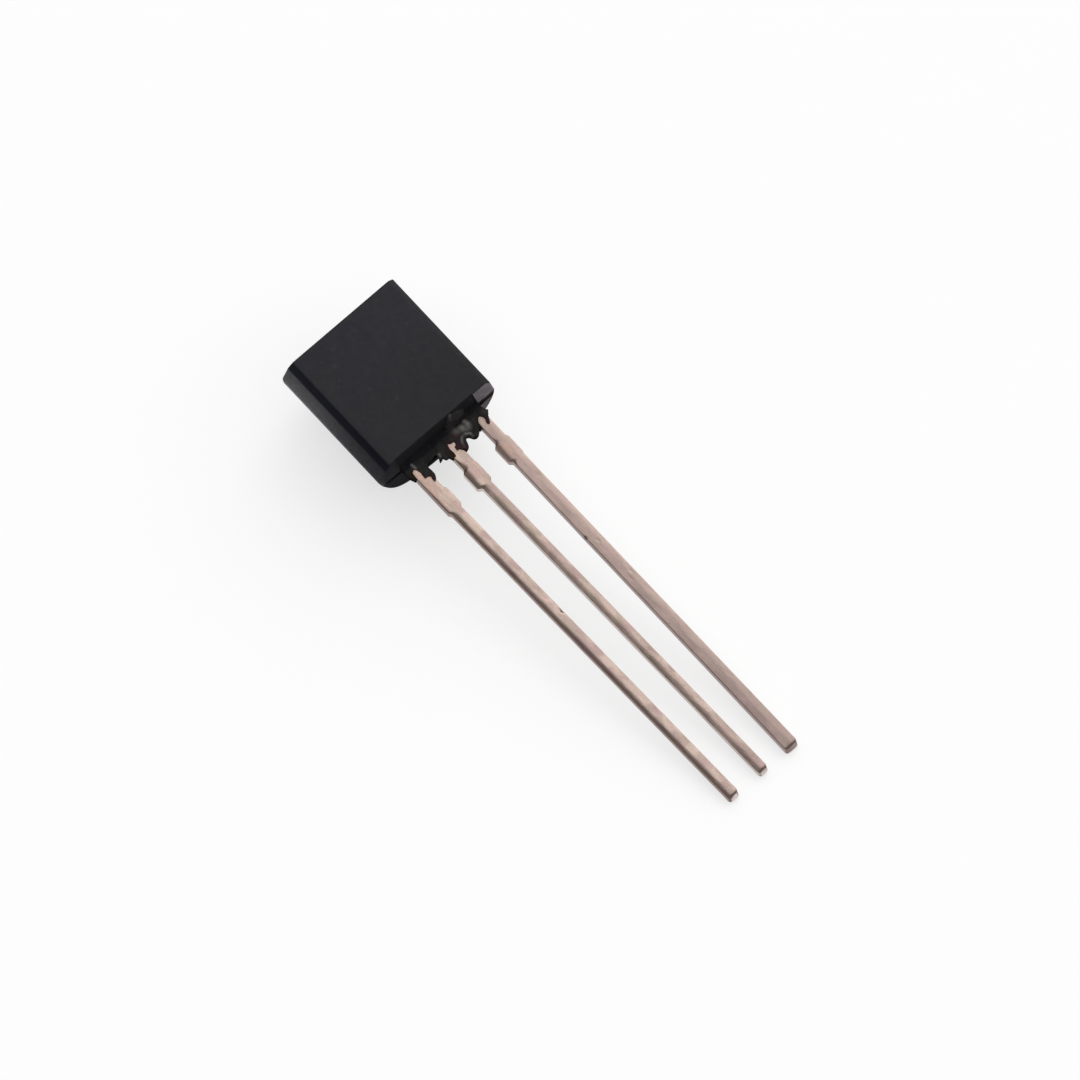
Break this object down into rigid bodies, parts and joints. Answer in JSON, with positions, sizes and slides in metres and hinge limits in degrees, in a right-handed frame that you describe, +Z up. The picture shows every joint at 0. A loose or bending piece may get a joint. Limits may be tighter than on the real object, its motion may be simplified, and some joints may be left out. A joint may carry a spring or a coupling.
{
  "type": "to-92 transistor",
  "caption": "Small black moulded transistor with a flat face, bevelled edges and a half-round back, on straight flat leads, lying on its back with ragged resin at the lead end.",
  "frame": {"origin": "on the table, under the middle of the lying part's box", "axes": "+X is the right side of the flat face seen with the leads pointing away from the head, -Y is where the leads point, +Z is up, out of the flat face's side"},
  "size_m": [0.0046, 0.0192, 0.004],
  "materials": {
    "black_epoxy": "fine-grained matt black moulding epoxy, smoother on the side walls",
    "tinned_metal": "tinned copper alloy, drawn, slightly tarnished to a warm grey",
    "silver_glue": "silver-filled epoxy",
    "silicon": "polished silicon",
    "gold": "bright gold wire"
  },
  "bodies": {
    "root": {"moulded_body": "black_epoxy", "emitter_lead": "tinned_metal", "base_lead": "tinned_metal", "collector_lead": "tinned_metal", "chip_glue": "silver_glue", "chip": "silicon", "emitter_wire": "gold", "base_wire": "gold"}
  },
  "joints": []
}
